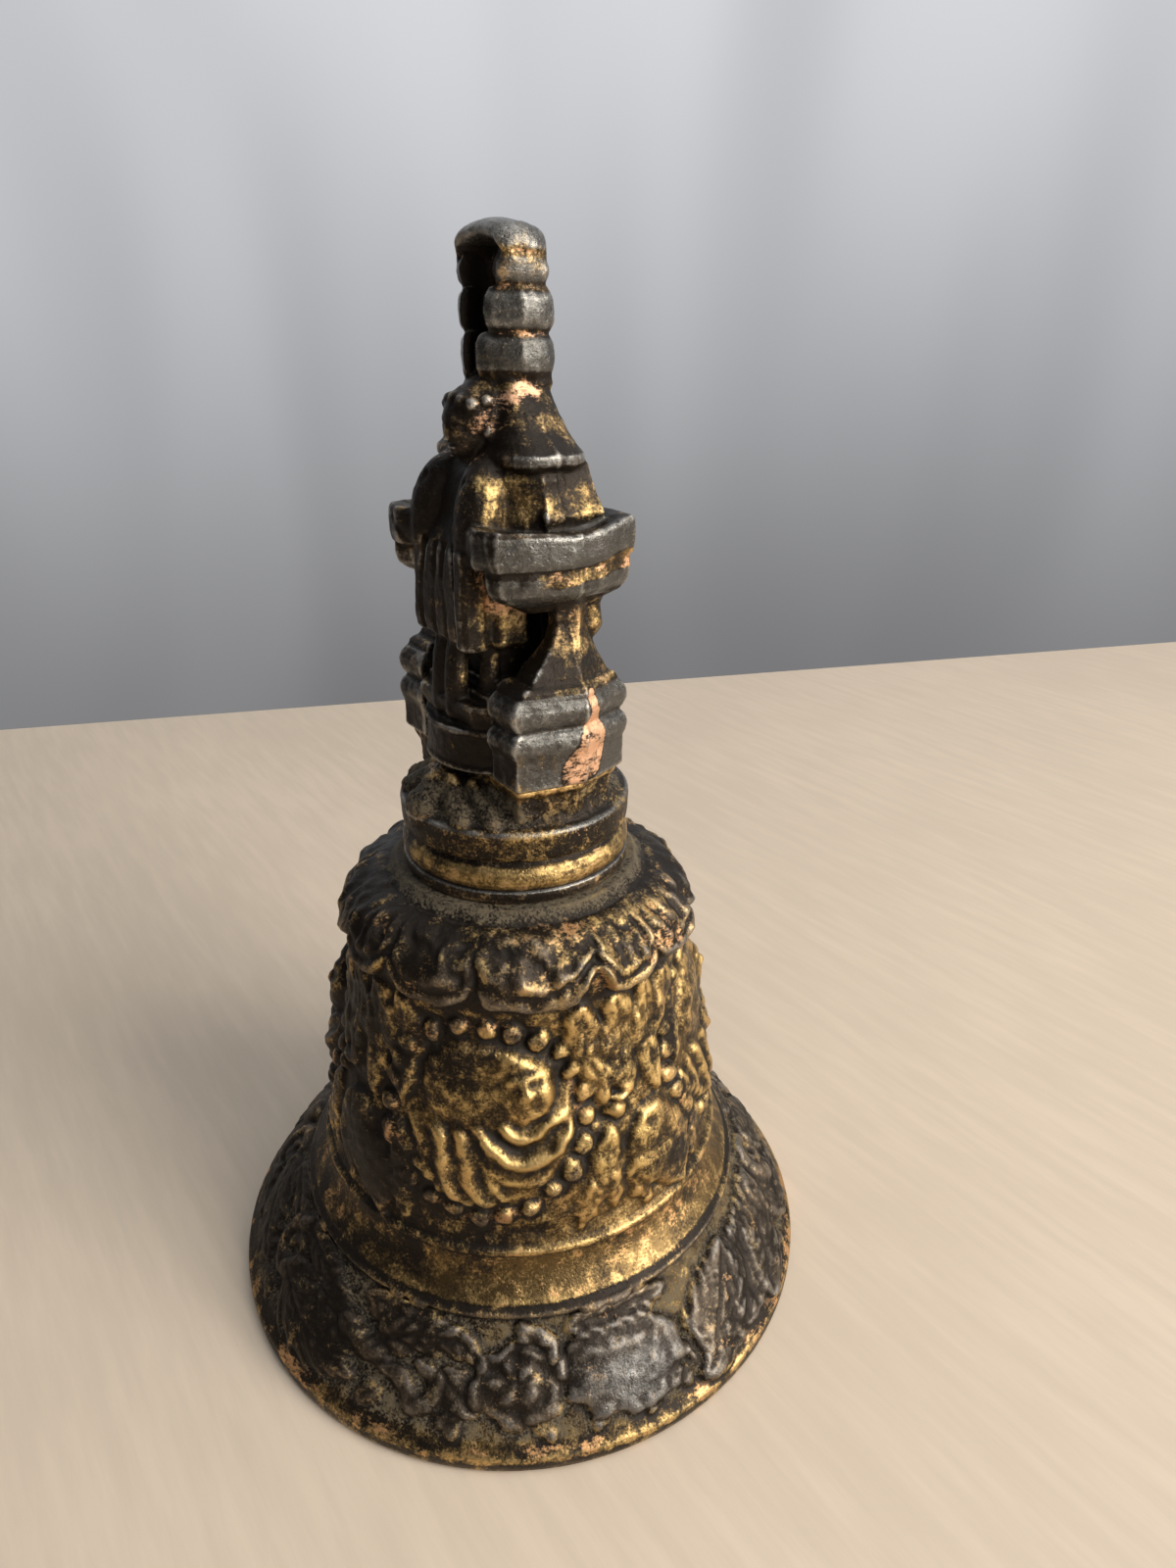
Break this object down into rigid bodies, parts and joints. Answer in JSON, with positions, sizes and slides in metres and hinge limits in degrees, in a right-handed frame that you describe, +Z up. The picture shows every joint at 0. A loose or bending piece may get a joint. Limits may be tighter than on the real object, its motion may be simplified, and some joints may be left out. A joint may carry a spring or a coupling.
{
  "type": "table hand bell",
  "caption": "Small cast table bell with relief medallions, a turned collar, a figural handle topped by a scallop shell, and a ball clapper.",
  "frame": {"origin": "centre of the mouth, on the plane that the lip stands on", "axes": "+Z up along the bell's axis, -Y towards the front of the handle's figure, +X to the figure's left hand"},
  "size_m": [0.066, 0.066, 0.1075],
  "materials": {
    "cup_bronze": "gilt plating over bronze, worn and patinated",
    "collar_brass": "turned brass, worn",
    "foot_bronze": "sand-cast bronze, dusty",
    "handle_bronze": "dark patina with worn grey and copper places",
    "stud_steel": "plain steel, dulled",
    "clapper_brass": "plain cast brass, dull"
  },
  "bodies": {
    "root": {"bell_body": "cup_bronze", "collar_ring": "collar_brass", "handle_foot": "foot_bronze", "handle_group": "handle_bronze", "handle_stud": "stud_steel", "crown_washer": "stud_steel", "crown_nut": "stud_steel", "stirrup_nut": "stud_steel"},
    "stirrup": {"clapper_stirrup": "stud_steel", "clapper_pin": "stud_steel"},
    "clapper": {"clapper_rod": "stud_steel", "clapper_ball": "clapper_brass"}
  },
  "joints": [
    {"name": "stirrup_turn", "type": "hinge", "parent": "root", "child": "stirrup", "pos_m": [0, 0, 0.03696], "axis": [0, 0, 1], "continuous": true},
    {"name": "clapper_swing", "type": "hinge", "parent": "stirrup", "child": "clapper", "pos_m": [0, 0, 0.03696], "axis": [1, 0, 0], "range_deg": [-37, 37]}
  ]
}
